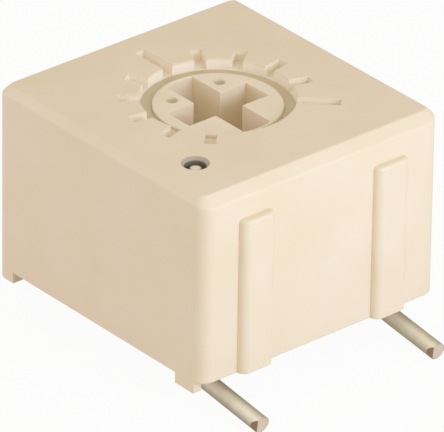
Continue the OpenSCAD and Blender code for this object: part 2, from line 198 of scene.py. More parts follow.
def flared(name, outline, floor, mouth):
    """Cutter whose mouth flares, so that the edge that it leaves is rounded by the lip."""
    layers = [(0, floor)]
    for degrees in (0, 25, 50, 75):
        t = math.radians(degrees)
        layers.append((LIP * (1 - math.cos(t)), mouth - LIP + LIP * math.sin(t)))
    out, level = layers[-1]
    layers.append((out + 0.966 * LIP, level + 0.259 * LIP))     # on past the mouth, at 15 degrees
    return lofted(name, [[(x, y, z) for x, y in grow_outline(outline, by)] for by, z in layers])


def turned(name, profile, steps):
    """Solid of revolution about the rotor axis; the profile starts and ends on the axis."""
    shape = bmesh.new()
    foot = shape.verts.new((0, 0, profile[0][1]))
    crown = shape.verts.new((0, 0, profile[-1][1]))
    rings = []
    for r, z in profile[1:-1]:
        rings.append([shape.verts.new((x, y, z)) for x, y in circle(r, steps)])
    for i in range(steps):
        j = (i + 1) % steps
        shape.faces.new((foot, rings[0][j], rings[0][i]))
        shape.faces.new((crown, rings[-1][i], rings[-1][j]))
        for below, above in zip(rings, rings[1:]):
            shape.faces.new((below[i], below[j], above[j], above[i]))
    return new_piece(name, shape)


def moved(piece, x=0.0, y=0.0, z=0.0, turn=0.0):
    """Turns the piece's mesh about the upright axis, then shifts it."""
    piece.data.transform(Matrix.Translation((x, y, z)) @ Matrix.Rotation(turn, 4, "Z"))
    return piece


def bake(piece):
    """Puts the piece's modifiers into its mesh."""
    bpy.context.view_layer.update()
    graph = bpy.context.evaluated_depsgraph_get()
    result = bpy.data.meshes.new_from_object(piece.evaluated_get(graph), depsgraph=graph)
    piece.modifiers.clear()
    piece.data = result
    return piece


def carve(piece, operation, *tools):
    """Boolean of a piece with each tool in turn; the tools are used up."""
    for tool in tools:
        step = piece.modifiers.new("carve", "BOOLEAN")
        step.operation = operation
        step.solver = "EXACT"
        step.object = tool
        bake(piece)
        bpy.data.objects.remove(tool)
    return piece


def weld(piece, reach):
    """Merges points closer than the reach, and drops slivers and loose points."""
    shape = bmesh.new()
    shape.from_mesh(piece.data)
    bmesh.ops.remove_doubles(shape, verts=shape.verts, dist=reach)
    bmesh.ops.dissolve_degenerate(shape, edges=shape.edges, dist=reach / 4)
    loose = [vert for vert in shape.verts if not vert.link_faces]
    bmesh.ops.delete(shape, geom=loose, context="VERTS")
    shape.to_mesh(piece.data)
    shape.free()
    return piece


def soften(piece, width, steps, share):
    """Rounds the outward edges; share(middle of the edge) scales the width there."""
    shape = bmesh.new()
    shape.from_mesh(piece.data)
    layer = shape.edges.layers.float.new("bevel_weight_edge")
    for edge in shape.edges:
        if edge.is_manifold and edge.is_convex and edge.calc_face_angle(0.0) > SOFT_TURN:
            edge[layer] = share((edge.verts[0].co + edge.verts[1].co) / 2)
    shape.to_mesh(piece.data)
    shape.free()
    step = piece.modifiers.new("soften", "BEVEL")
    step.limit_method = "WEIGHT"
    step.width = width
    step.segments = steps
    step.use_clamp_overlap = False
    step.loop_slide = False
    return bake(piece)


def finished(piece, finish, cad_body, record_slot, *nodes):
    """Smooth shading that keeps flats flat, metres, material, and its place in the frame."""
    for face in piece.data.polygons:
        face.use_smooth = True
    piece.data.set_sharp_from_angle(angle=SHARP_TURN)
    step = piece.modifiers.new("flats", "WEIGHTED_NORMAL")
    step.keep_sharp = True
    bake(piece)
    piece.data.transform(Matrix.Scale(MM, 4))
    piece.data.materials.clear()
    piece.data.materials.append(finish)
    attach(piece, cad_body)
    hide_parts(*nodes)
    return piece


# ---- nodes -------------------------------------------------------------------

def add(tree, kind, feeds=None, **settings):
    """One node; feeds maps an input to a value or to the socket that drives it."""
    made = tree.nodes.new(kind)
    for key, value in settings.items():
        setattr(made, key, value)
    for where, value in (feeds or {}).items():
        if isinstance(value, bpy.types.NodeSocket):
            tree.links.new(value, made.inputs[where])
        else:
            made.inputs[where].default_value = value
    return made


def maths(tree, operation, *values, **settings):
    """What comes out of a sum on numbers."""
    feeds = dict(enumerate(values))
    return add(tree, "ShaderNodeMath", feeds, operation=operation, **settings).outputs[0]


def vectors(tree, operation, *values, out=0):
    """What comes out of a sum on vectors; a length or a dot product is its "Value"."""
    feeds = dict(enumerate(values))
    return add(tree, "ShaderNodeVectorMath", feeds, operation=operation).outputs[out]


def scaled(tree, vector, by):
    """The vector times a number."""
    return add(tree, "ShaderNodeVectorMath", {0: vector, "Scale": by}, operation="SCALE").outputs[0]


def flat(tree, vector):
    """The vector without its upright part."""
    return vectors(tree, "MULTIPLY", vector, (1.0, 1.0, 0.0))


def slide(tree, value, low, high, start=0.0, end=1.0):
    """Goes evenly from start to end while the value goes from low to high."""
    feeds = {"Value": value, "From Min": low, "From Max": high, "To Min": start, "To Max": end}
    return add(tree, "ShaderNodeMapRange", feeds).outputs[0]


def clouds(tree, place, scale, detail, roughness=0.5):
    """Soft noise from 0 to 1."""
    return add(tree, "ShaderNodeTexNoise", {
        "Vector": place, "Scale": scale, "Detail": detail, "Roughness": roughness}).outputs["Fac"]


def stored(tree, geometry, name, value, data_type):
    """The geometry, with a value kept on each of its points."""
    return add(tree, "GeometryNodeStoreNamedAttribute", {
        "Geometry": geometry, "Name": name, "Value": value},
        data_type=data_type, domain="POINT").outputs[0]


def recalled(tree, name, data_type):
    """A value that was kept on the points."""
    return add(tree, "GeometryNodeInputNamedAttribute", {"Name": name},
               data_type=data_type).outputs[0]


# ---- geometry trees ----------------------------------------------------------

def new_tree(name, sizes):
    """Geometry tree with one named input for each size; the sockets of its inputs come with it."""
    tree = bpy.data.node_groups.new(name, "GeometryNodeTree")
    tree.is_modifier = True
    tree.interface.new_socket("Geometry", in_out="INPUT", socket_type="NodeSocketGeometry")
    for label, kind in sizes:
        tree.interface.new_socket(label, in_out="INPUT", socket_type="NodeSocket" + kind)
    tree.interface.new_socket("Geometry", in_out="OUTPUT", socket_type="NodeSocketGeometry")
    return tree, add(tree, "NodeGroupInput").outputs


def close_tree(tree, geometry, finish):
    """Every tree ends in Realize Instances and Set Material."""
    real = add(tree, "GeometryNodeRealizeInstances", {0: geometry})
    dressed = add(tree, "GeometryNodeSetMaterial", {"Geometry": real.outputs[0]})
    dressed.inputs["Material"].default_value = finish
    add(tree, "NodeGroupOutput", {0: dressed.outputs[0]})
    return tree


def grown(name, tree, sizes, start=None):
    """Plain mesh made by a tree from its sizes; start is a piece, or the points of a path."""
    if not isinstance(start, bpy.types.Object):
        shape = bmesh.new()
        points = [shape.verts.new(p) for p in start or ()]
        for a, b in zip(points, points[1:]):
            shape.edges.new((a, b))
        start = new_piece(name, shape)
    step = start.modifiers.new("grow", "NODES")
    step.node_group = tree
    for socket in tree.interface.items_tree:
        if socket.in_out == "INPUT" and socket.name in sizes:
            step[socket.identifier] = sizes[socket.name]
    return bake(start)


def groove_tree(finish):
    """The dial's radial grooves: one bar repeated on an arc. The first and the middle bar have
    their outer ends drawn further out."""
    tree, given = new_tree("dial_grooves", [
        ("Count", "Int"), ("Sweep", "Float"), ("Bar middle", "Float"), ("Extra reach", "Float")])
    place = add(tree, "GeometryNodeInputPosition").outputs[0]
    along = add(tree, "ShaderNodeSeparateXYZ", {0: place}).outputs["X"]
    outer = maths(tree, "GREATER_THAN", along, given["Bar middle"])
    bar = stored(tree, given["Geometry"], "outer_end", outer, "FLOAT")
    number = add(tree, "GeometryNodeInputIndex").outputs[0]
    share = maths(tree, "DIVIDE", number, maths(tree, "SUBTRACT", given["Count"], 1.0))
    spread = maths(tree, "SUBTRACT", share, 0.5)
    angle = maths(tree, "MULTIPLY_ADD", spread, given["Sweep"], math.pi / 2)
    first, middle = (maths(tree, "COMPARE", share, at, 0.01) for at in (0.0, 0.5))
    marked = maths(tree, "MAXIMUM", first, middle)
    extra = maths(tree, "MULTIPLY", marked, given["Extra reach"])
    straight = add(tree, "ShaderNodeCombineXYZ", {"X": extra}).outputs[0]
    pull = add(tree, "ShaderNodeVectorRotate", {"Vector": straight, "Angle": angle},
               rotation_type="Z_AXIS").outputs[0]
    points = add(tree, "GeometryNodePoints", {"Count": given["Count"]}).outputs[0]
    turn = add(tree, "ShaderNodeCombineXYZ", {"Z": angle}).outputs[0]
    bars = add(tree, "GeometryNodeInstanceOnPoints", {
        "Points": stored(tree, points, "pull", pull, "FLOAT_VECTOR"), "Instance": bar,
        "Rotation": turn})
    real = add(tree, "GeometryNodeRealizeInstances", {0: bars.outputs[0]})
    shift = scaled(tree, recalled(tree, "pull", "FLOAT_VECTOR"),
                   recalled(tree, "outer_end", "FLOAT"))
    drawn = add(tree, "GeometryNodeSetPosition", {"Geometry": real.outputs[0], "Offset": shift})
    return close_tree(tree, drawn.outputs[0], finish)


def rib_tree(finish):
    """Upright ribs: a plan with round outer corners, raised and repeated across the face."""
    tree, given = new_tree("face_ribs", [
        ("Count", "Int"), ("Pitch", "Float"), ("Width", "Float"), ("Proud", "Float"),
        ("Edge radius", "Float"), ("Height", "Float"), ("Face", "Float"), ("Foot", "Float")])
    # the plan reaches as far into the body as it stands proud of it
    deep = maths(tree, "MULTIPLY", given["Proud"], 2.0)
    plan = add(tree, "GeometryNodeCurvePrimitiveQuadrilateral", {
        "Width": given["Width"], "Height": deep})
    round_plan = add(tree, "GeometryNodeFilletCurve", {
        "Curve": plan.outputs[0], "Radius": given["Edge radius"], "Count": 10}, mode="POLY")
    base = add(tree, "GeometryNodeFillCurve", {"Curve": round_plan.outputs[0]}, mode="NGONS")
    up = add(tree, "ShaderNodeCombineXYZ", {"Z": given["Height"]})
    raised = add(tree, "GeometryNodeExtrudeMesh", {
        "Mesh": base.outputs[0], "Offset": up.outputs[0], "Offset Scale": 1.0,
        "Individual": False})
    under = add(tree, "GeometryNodeFlipFaces", {"Mesh": base.outputs[0]})
    both = add(tree, "GeometryNodeJoinGeometry", {0: raised.outputs[0]})
    tree.links.new(under.outputs[0], both.inputs[0])
    rib = add(tree, "GeometryNodeMergeByDistance", {
        "Geometry": both.outputs[0], "Distance": 0.001})
    number = add(tree, "GeometryNodeInputIndex").outputs[0]
    gaps = maths(tree, "SUBTRACT", given["Count"], 1.0)
    from_middle = maths(tree, "SUBTRACT", number, maths(tree, "MULTIPLY", gaps, 0.5))
    across = maths(tree, "MULTIPLY", from_middle, given["Pitch"])
    place = add(tree, "ShaderNodeCombineXYZ", {
        "X": across, "Y": given["Face"], "Z": given["Foot"]})
    points = add(tree, "GeometryNodePoints", {
        "Count": given["Count"], "Position": place.outputs[0]})
    ribs = add(tree, "GeometryNodeInstanceOnPoints", {
        "Points": points.outputs[0], "Instance": rib.outputs[0]})
    return close_tree(tree, ribs.outputs[0], finish)


def wire_tree(finish):
    """Round wire along a path with filleted bends. Each point keeps where it was on the straight
    wire, and which way the wire's skin faces there."""
    tree, given = new_tree("formed_wire", [
        ("Wire radius", "Float"), ("Bend radius", "Float"), ("Bend steps", "Int")])
    path = add(tree, "GeometryNodeMeshToCurve", {"Mesh": given["Geometry"]})
    bent = add(tree, "GeometryNodeFilletCurve", {
        "Curve": path.outputs[0], "Radius": given["Bend radius"],
        "Count": given["Bend steps"], "Limit Radius": True}, mode="POLY")
    along = add(tree, "GeometryNodeSplineParameter").outputs["Length"]
    spot = add(tree, "GeometryNodeInputPosition").outputs[0]
    marked = stored(tree, bent.outputs[0], "along", along, "FLOAT")
    centred = stored(tree, marked, "middle", spot, "FLOAT_VECTOR")
    section = add(tree, "GeometryNodeCurvePrimitiveCircle", {
        "Resolution": CIRCLE_SMALL, "Radius": given["Wire radius"]})
    round_mark = stored(tree, section.outputs[0], "across", spot, "FLOAT_VECTOR")
    wire = add(tree, "GeometryNodeCurveToMesh", {
        "Curve": centred, "Profile Curve": round_mark, "Fill Caps": True})
    upright = add(tree, "ShaderNodeCombineXYZ", {"Z": recalled(tree, "along", "FLOAT")})
    straight = vectors(tree, "ADD", recalled(tree, "across", "FLOAT_VECTOR"), upright.outputs[0])
    drawn = stored(tree, wire.outputs[0], "straight_wire", straight, "FLOAT_VECTOR")
    away = vectors(tree, "SUBTRACT", spot, recalled(tree, "middle", "FLOAT_VECTOR"))
    outward = vectors(tree, "NORMALIZE", away)
    facing = stored(tree, drawn, "outward", outward, "FLOAT_VECTOR")
    return close_tree(tree, facing, finish)


# ---- finishes ----------------------------------------------------------------

CLOUD = (0.3, 0.7)                   # where most of a soft noise lies
# Bounds of masks, each from where the mask starts to change to where it has changed, in mm.
FROM_AXIS = (-1.0, -0.5)
FROM_HEAD = (1.30, 1.36)             # from under the rim of the rotor's head
TO_BODY = (2.9, 3.0)                 # past the outer ends of the grooves


def linear(hex_colour):
    """sRGB hex to a linear colour."""
    parts = [int(hex_colour[i:i + 2], 16) / 255 for i in (1, 3, 5)]
    parts = [p / 12.92 if p <= 0.04045 else ((p + 0.055) / 1.055) ** 2.4 for p in parts]
    return (*parts, 1.0)


def blend(tree, share, under, over):
    """Colour that goes from one to the other; each is an sRGB hex or a socket."""
    under, over = (linear(c) if isinstance(c, str) else c for c in (under, over))
    return add(tree, "ShaderNodeMix", {0: share, 6: under, 7: over}, data_type="RGBA").outputs[2]


def cells(size_mm):
    """Texture scale that makes one cell this many millimetres wide."""
    return 1.0 / (size_mm * MM)


def new_finish(name):
    """Material with an empty node tree."""
    finish = bpy.data.materials.new(name)
    finish.use_nodes = True
    finish.node_tree.nodes.clear()
    return finish, finish.node_tree


def close_finish(finish, surface, height, strength, relief_mm):
    """Ends a material in one skin with these inputs, and with a relief that follows the height."""
    tree = finish.node_tree
    bump = add(tree, "ShaderNodeBump", {
        "Strength": strength, "Distance": relief_mm * MM, "Height": height}).outputs[0]
    skin = add(tree, "ShaderNodeBsdfPrincipled", {**surface, "Normal": bump})
    add(tree, "ShaderNodeOutputMaterial", {"Surface": skin.outputs[0]})
    return finish


def ring_mask(tree, place, centre, inner, outer, low, high):
    """1 between two radii about an upright axis and between two levels. Each bound is a pair, as
    above."""
    off = vectors(tree, "SUBTRACT", scaled(tree, place, 1 / MM), (*centre, 0.0))
    radius = vectors(tree, "LENGTH", flat(tree, off), out="Value")
    level = add(tree, "ShaderNodeSeparateXYZ", {0: off}).outputs["Z"]
    mask = slide(tree, radius, *inner)
    for part in (slide(tree, radius, *outer, 1.0, 0.0), slide(tree, level, *low),
                 slide(tree, level, *high, 1.0, 0.0)):
        mask = maths(tree, "MULTIPLY", mask, part)
    return mask


def moulded_polyester():
    """Glass-filled thermoplastic polyester, injection moulded in a fine spark-eroded tool: an
    opaque warm cream with a soft sheen. The tool grain is about 0.02 mm, drawn at 0.05 mm so that
    it shows; the filler clouds the colour very slightly."""
    finish, tree = new_finish("moulded_polyester_cream")
    place = add(tree, "ShaderNodeTexCoord").outputs["Object"]
    cloud = clouds(tree, place, cells(1.6), 3.0, 0.55)
    colour = blend(tree, slide(tree, cloud, *CLOUD), "#ECDABD", "#EFDFC6")
    fleck = add(tree, "ShaderNodeTexVoronoi", {"Vector": place, "Scale": cells(0.16)})
    speck = slide(tree, fleck.outputs["Distance"], 0.0, 0.16, 0.10, 0.0)
    colour = blend(tree, speck, colour, "#F6EBD8")
    # painted shade on the floor of the dial: a shade darker all round, fading out towards the front
    # left
    dial = ring_mask(tree, place, (0, 0), FROM_HEAD, (DIAL_R - 0.01, DIAL_R + 0.03),
                     (Z_DIAL - 0.3, Z_DIAL - 0.25), (Z_DIAL + 0.01, Z_DIAL + 0.05))
    way = vectors(tree, "NORMALIZE", flat(tree, place))
    toward_lit = vectors(tree, "DOT_PRODUCT", way, LIT_SIDE, out="Value")
    painted_dial_shade = maths(tree, "MULTIPLY", dial, slide(tree, toward_lit, 0.55, 0.90, 0.8, 0.0))
    colour = blend(tree, painted_dial_shade, colour, "#CDBB98")
    # painted light: the grooves are drawn paler, lifting the shade in them
    groove = ring_mask(tree, place, (0, 0), (DIAL_R - 0.02, DIAL_R - 0.01), TO_BODY,
                       (Z_DIAL - 0.05, Z_DIAL - 0.03), (Z_TOP - 0.06, Z_TOP - 0.02))
    colour = blend(tree, maths(tree, "MULTIPLY", groove, 0.75), colour, "#FFF6E6")
    # painted shade in the probe hole: grey on its bevel, darker below it
    for depth, hole_shade in ((1.0, "#95897A"), (PROBE_BEVEL, "#BDB09B")):
        hole = ring_mask(tree, place, (-PROBE_X, -PROBE_Y), FROM_AXIS,
                         (PROBE_R + PROBE_BEVEL - 0.015, PROBE_R + PROBE_BEVEL + 0.01),
                         (Z_TOP - depth - 0.03, Z_TOP - depth), (Z_TOP - 0.02, Z_TOP + 0.01))
        colour = blend(tree, hole, colour, hole_shade)
    # the tool's grain on top of a slow waviness from the flow in the mould
    grain = clouds(tree, place, cells(0.05), 2.0, 0.6)
    flow = clouds(tree, place, cells(0.9), 1.0)
    height = maths(tree, "MULTIPLY_ADD", flow, 3.0, grain)
    shine = slide(tree, cloud, *CLOUD, 0.42, 0.50)
    return close_finish(finish, {"Base Color": colour, "Roughness": shine, "IOR": 1.55},
                        height, strength=0.35, relief_mm=0.0015)


def moulded_polyamide():
    """Glass-filled polyamide of the rotor, injection moulded: a shade paler and duller than the
    housing. Its tool grain, about 0.02 mm, is drawn at 0.05 mm so that it shows; the two dimples
    are drawn darker, as painted shade."""
    finish, tree = new_finish("moulded_polyamide_ivory")
    place = add(tree, "ShaderNodeTexCoord").outputs["Object"]
    cloud = clouds(tree, place, cells(0.8), 3.0, 0.6)
    colour = blend(tree, slide(tree, cloud, *CLOUD), "#F0E1C6", "#F3E5CD")
    # painted shade: the two dimples are drawn darker and greener
    for side in (-1, 1):
        dimple = ring_mask(tree, place, (side * DIMPLE_X, DIMPLE_Y), FROM_AXIS,
                           (DIMPLE_R - 0.03, DIMPLE_R + 0.03),
                           (Z_FACE - 0.3, Z_FACE - 0.2), (Z_FACE + 0.1, Z_FACE + 0.2))
        colour = blend(tree, maths(tree, "MULTIPLY", dimple, 0.8), colour, "#C0B48A")
    grain = clouds(tree, place, cells(0.05), 2.0, 0.6)
    shine = slide(tree, cloud, *CLOUD, 0.48, 0.56)
    return close_finish(finish, {"Base Color": colour, "Roughness": shine, "IOR": 1.53},
                        grain, strength=0.4, relief_mm=0.0015)


def tinned_wire():
    """Copper wire, drawn, hot-tinned and run through straightening rollers: a dull warm silver with
    dull patches, drawn with a painted highlight along two opposite sides and painted shade on the
    flanks between them. Draw lines are about 0.005 mm wide, drawn at 0.03 mm so that they show."""
    finish, tree = new_finish("tinned_copper_drawn")
    # this pattern lies on the straight wire, whose sizes are in mm
    place = add(tree, "ShaderNodeAttribute", attribute_name="straight_wire").outputs["Vector"]
    squeezed = add(tree, "ShaderNodeMapping", {"Vector": place, "Scale": (1.0, 1.0, 0.04)})
    lines = clouds(tree, squeezed.outputs[0], 1 / 0.03, 2.0, 0.6)
    dull = clouds(tree, place, 1 / 0.35, 4.0, 0.6)
    tin = blend(tree, slide(tree, dull, 0.35, 0.7), "#FFFCF0", "#FAF2DF")
    off_axis = vectors(tree, "LENGTH", flat(tree, place), out="Value")
    # painted highlight along two opposite sides of the wire, painted shade on the flanks between
    # them
    outward = add(tree, "ShaderNodeAttribute", attribute_name="outward").outputs["Vector"]
    toward = vectors(tree, "DOT_PRODUCT", outward, HIGHLIGHT_SIDE, out="Value")
    painted_highlight = maths(tree, "MULTIPLY", toward, toward)
    painted_flank_shade = maths(tree, "POWER", maths(tree, "SUBTRACT", 1.0, painted_highlight), 0.75, use_clamp=True)
    skin_only = slide(tree, off_axis, 0.88 * LEAD_R, 0.96 * LEAD_R)
    tin_with_painted_light = blend(tree, maths(tree, "MULTIPLY", painted_flank_shade, skin_only), tin, "#AFA286")
    # the shears bare the copper at the tip, more on the slanted side
    bare = add(tree, "ShaderNodeAttribute", attribute_name="sheared").outputs["Fac"]
    copper = blend(tree, dull, "#9C7E60", "#B89A7A")
    metal = blend(tree, bare, tin_with_painted_light, copper)
    # painted shade and reflection: the skin of the upper end, down in the probe hole, is drawn dark
    # grey, and its crown is left bright
    flank = slide(tree, off_axis, 0.45 * LEAD_R, 0.75 * LEAD_R)
    built = add(tree, "ShaderNodeTexCoord").outputs["Object"]
    level = add(tree, "ShaderNodeSeparateXYZ", {0: built}).outputs["Z"]
    upper = slide(tree, level, (Z_TOP - 0.80) * MM, (Z_TOP - 0.60) * MM)
    colour = blend(tree, maths(tree, "MULTIPLY", flank, upper), metal, "#5E554D")
    shine = slide(tree, dull, *CLOUD, 0.72, 0.82)
    return close_finish(finish, {"Base Color": colour, "Roughness": shine, "Metallic": 1.0},
                        lines, strength=0.3, relief_mm=0.002)


def plain_finish(name, dark, pale, cell, rough, metallic, relief):
    """Two close shades in soft clouds, roughness that follows them, and a fine surface relief;
    cell and relief are in mm. The real grain of each is finer than a sixth of the cloud, and is
    drawn at that size so that it shows."""
    finish, tree = new_finish(name)
    place = add(tree, "ShaderNodeTexCoord").outputs["Object"]
    cloud = clouds(tree, place, cells(cell), 4.0, 0.6)
    grain = clouds(tree, place, cells(cell / 6), 2.0)
    colour = blend(tree, slide(tree, cloud, *CLOUD), dark, pale)
    shine = slide(tree, cloud, *CLOUD, *rough)
    return close_finish(finish, {"Base Color": colour, "Roughness": shine, "Metallic": metallic},
                        grain, strength=0.5, relief_mm=relief)


shell_finish = moulded_polyester()
rotor_finish = moulded_polyamide()
wire_finish = tinned_wire()

# The pieces that keep their CAD solid: shades, cloud size, roughness, metal or not, relief.
inner_finishes = {}
for nodes, *sizes in (
        # silicone rubber, moulded: brick red, dull
        (["seal_ring"], "moulded_silicone_red", "#8E3A2A", "#A24632",
         0.20, (0.55, 0.7), 0.0, 0.002),
        # copper-nickel spring sheet, stamped: warm metal with a rolled sheen
        (["wiper_spring"], "stamped_spring_alloy", "#B08A52", "#C7A46B",
         0.25, (0.28, 0.4), 1.0, 0.001),
        # alumina, pressed and fired: chalky white with a fine grain
        (["substrate"], "fired_alumina_white", "#E2E1D9", "#EEEDE6",
         0.12, (0.6, 0.75), 0.0, 0.003),
        # resistive ink, screen printed and fired: near black, slightly glassy
        (["resistive_track"], "fired_resistive_ink", "#201F22", "#2E2C30",
         0.10, (0.3, 0.45), 0.0, 0.002),
        # silver-palladium ink, screen printed and fired: dull pale grey metal
        (["end_pad_1", "end_pad_3", "collector"], "fired_silver_ink", "#BDBAB2", "#D2CFC7",
         0.10, (0.42, 0.6), 1.0, 0.003),
        # tin solder, reflowed: bright, with a softly rippled skin
        (["solder_1", "solder_2", "solder_3"], "reflowed_tin_solder", "#B9B9BA", "#CFCFD0",
         0.25, (0.18, 0.34), 1.0, 0.006),
        # epoxy potting compound, poured and cured: pale buff, low gloss, faintly uneven
        (["potting"], "cured_epoxy_buff", "#DFCFAD", "#E9DBBE",
         0.60, (0.35, 0.55), 0.0, 0.010)):
    finish = plain_finish(*sizes)
    inner_finishes.update({node: finish for node in nodes})


# ---- housing -----------------------------------------------------------------

def chamfer_inset(level, chamfer):
    """How far the wall has drawn in at a level; both edges of the chamfer are rounded."""
    low = Z_TOP - chamfer
    if level <= low - EDGE:
        return 0.0
    if level < low + EDGE * math.sqrt(0.5):
        return CHAMFER_ROUND - math.sqrt(CHAMFER_ROUND ** 2 - (level - low + EDGE) ** 2)
    if level <= Z_TOP - EDGE * math.sqrt(0.5):
        return level - low
    over = level - Z_TOP + CHAMFER_ROUND
    return chamfer + EDGE - math.sqrt(max(0.0, CHAMFER_ROUND ** 2 - over ** 2))


def make_block(low):
    """Outside of the shell in level layers: round corners, and chamfers that run round them."""
    levels = {low, Z_TOP}
    for chamfer in (CHAMFER_SIDE, CHAMFER_FRONT):
        for share in (0, 1 / 3, 2 / 3, 1):
            levels.add(round(Z_TOP - chamfer - EDGE + share * EDGE * (1 + math.sqrt(0.5)), 5))
    for degrees in (45, 60, 75):
        rise = CHAMFER_ROUND * math.sin(math.radians(degrees))
        levels.add(round(Z_TOP - CHAMFER_ROUND + rise, 5))
    layers = []
    for level in sorted(levels):
        side, front = chamfer_inset(level, CHAMFER_SIDE), chamfer_inset(level, CHAMFER_FRONT)
        layers.append([(sx * (HALF_W - CORNER_R) + x * (CORNER_R - side),
                        sy * (HALF_D - CORNER_R) + y * (CORNER_R - front), level)
                       for sx, sy, start in CORNERS
                       for x, y in arc((0, 0), 1.0, start, start + 90, ARC)])
    return lofted("housing_shell", layers)


def edge_share(at):
    """The upright edges of the feet stay crisp; the tops of the ribs are well rounded."""
    foot_middle, rib_top = Z_RIM - FOOT_H / 2, Z_RIM + RIB_H
    near, close = 0.05, 0.01         # how well an edge's middle has to fit
    if abs(at.z - foot_middle) < near:
        return 0.0
    return RIB_TOP_SHARE if abs(at.z - rib_top) < close and at.y < -HALF_D - close else 1.0


def make_housing():
    """The block with its ribs and feet, softened, and then all that is cut into it."""
    foot_z = Z_RIM - FOOT_H
    shell = make_block(foot_z)
    spare = FOOT_H / 2               # cut away again with what lies below the rim
    ribs = grown("ribs", rib_tree(shell_finish), {
        "Count": 2, "Pitch": 2 * RIB_IN + RIB_W, "Width": RIB_W, "Proud": RIB_PROUD,
        "Edge radius": RIB_PROUD, "Height": RIB_H + spare, "Face": -HALF_D, "Foot": Z_RIM - spare})
    carve(shell, "UNION", ribs)

    # everything below the rim goes except the four feet
    left, right = -HALF_W + FOOT_W_FRONT, HALF_W - FOOT_W_FRONT
    front_left, front_right = -HALF_D + FOOT_SET_LEFT, -HALF_D + FOOT_SET_RIGHT
    rear, rear_in = HALF_D - FOOT_L, HALF_W - FOOT_W
    below = prism("below", [
        (-WIDE, -WIDE), (WIDE, -WIDE), (WIDE, front_right), (right, front_right),
        (right, front_right + FOOT_L), (WIDE, front_right + FOOT_L), (WIDE, rear), (rear_in, rear),
        (rear_in, WIDE), (-rear_in, WIDE), (-rear_in, rear), (-WIDE, rear),
        (-WIDE, front_left + FOOT_L), (left, front_left + FOOT_L), (left, front_left),
        (-WIDE, front_left)], foot_z - DEEP, Z_RIM)
    carve(shell, "DIFFERENCE", below)
    soften(weld(shell, BLOCK_WELD), EDGE, 3, edge_share)

    ring = flared("ring", circle(DIAL_R, CIRCLE_DIAL), Z_DIAL, Z_TOP)
    end = DIAL_R + GROOVE_SHORT
    bar = flared("grooves", [
        (GROOVE_START, -GROOVE_W / 2), (end, -GROOVE_W / 2), (end, GROOVE_W / 2),
        (GROOVE_START, GROOVE_W / 2)], Z_DIAL, Z_TOP)
    grooves = grown("grooves", groove_tree(shell_finish), {
        "Count": GROOVES, "Sweep": GROOVE_SWEEP, "Bar middle": (GROOVE_START + end) / 2,
        "Extra reach": GROOVE_LONG - GROOVE_SHORT}, bar)
    # a lip at the mouth of the bore closes the sight line down to the seal
    lip_r, lip_low = HEAD_R + BORE_LIP_GAP, Z_DIAL - BORE_LIP_H
    bore_low, bore_high = Z_PLATE - 2 * OVER, Z_TOP + 2 * OVER
    bore = turned("bore", [
        (0, bore_low), (BORE_R, bore_low), (BORE_R, lip_low - BORE_LIP_SLOPE), (lip_r, lip_low),
        (lip_r, bore_high), (0, bore_high)], CIRCLE_DIAL)
    seal_pocket = prism("seal_pocket", circle(SEAL_POCKET_R, CIRCLE), Z_PLATE - 2 * OVER,
                        Z_PLATE + SEAL_POCKET_H)
    chamber = prism("chamber", circle(CHAMBER_R, CIRCLE), Z_SUB - 2 * OVER, Z_PLATE)
    cavity = flared("cavity", rounded(HALF_W - WALL_T, HALF_D - WALL_T, CAVITY_R), -Z_SUB, -Z_RIM)
    cavity.data.transform(Matrix.Rotation(math.pi, 4, "X"))
    floor, bevel_low, bevel_high = Z_TOP - PROBE_DEPTH, Z_TOP - PROBE_BEVEL, Z_TOP + PROBE_BEVEL
    hole = turned("hole", [
        (0, floor), (PROBE_R, floor), (PROBE_R, bevel_low), (PROBE_R + 2 * PROBE_BEVEL, bevel_high),
        (0, bevel_high)], CIRCLE)
    moved(hole, -PROBE_X, -PROBE_Y)
    socket = prism("socket", circle(SOCKET_R, CIRCLE_SMALL, (-LEAD_X, -ROOT_FRONT)),
                   Z_SUB - OVER, SOCKET_TOP)
    pockets = []
    for side in (-1, 1):
        to = Vector((POCKET_END_R * side * math.sin(POCKET_END_TURN) - side * LEAD_X,
                     POCKET_END_R * math.cos(POCKET_END_TURN) + ROOT_FRONT))
        low, high = Z_SUB - OVER, Z_SUB + POCKET_H
        round_end = prism("pocket", circle(POCKET_R, CIRCLE_SMALL), low, high)
        passage = box("passage", (0, -POCKET_HALF_W, low), (to.length, POCKET_HALF_W, high))
        moved(passage, turn=math.atan2(to.y, to.x))
        pockets.append(moved(carve(round_end, "UNION", passage), side * LEAD_X, -ROOT_FRONT))
    carve(shell, "DIFFERENCE", ring, grooves, bore, seal_pocket, chamber, cavity, hole, socket,
          *pockets)

    start, end = 270 - STOP_HALF, 270 + STOP_HALF
    stop = prism("stop", arc((0, 0), CHAMBER_R + OVER, start, end, ARC_STOP)
                 + arc((0, 0), FLANGE_R + STOP_GAP, end, start, ARC_STOP),
                 STOP_LOW, Z_PLATE + OVER)
    carve(shell, "UNION", stop)
    weld(shell, WELD)
    return finished(shell, shell_finish, "body", "housing_plastic", "housing")


# ---- rotor -------------------------------------------------------------------

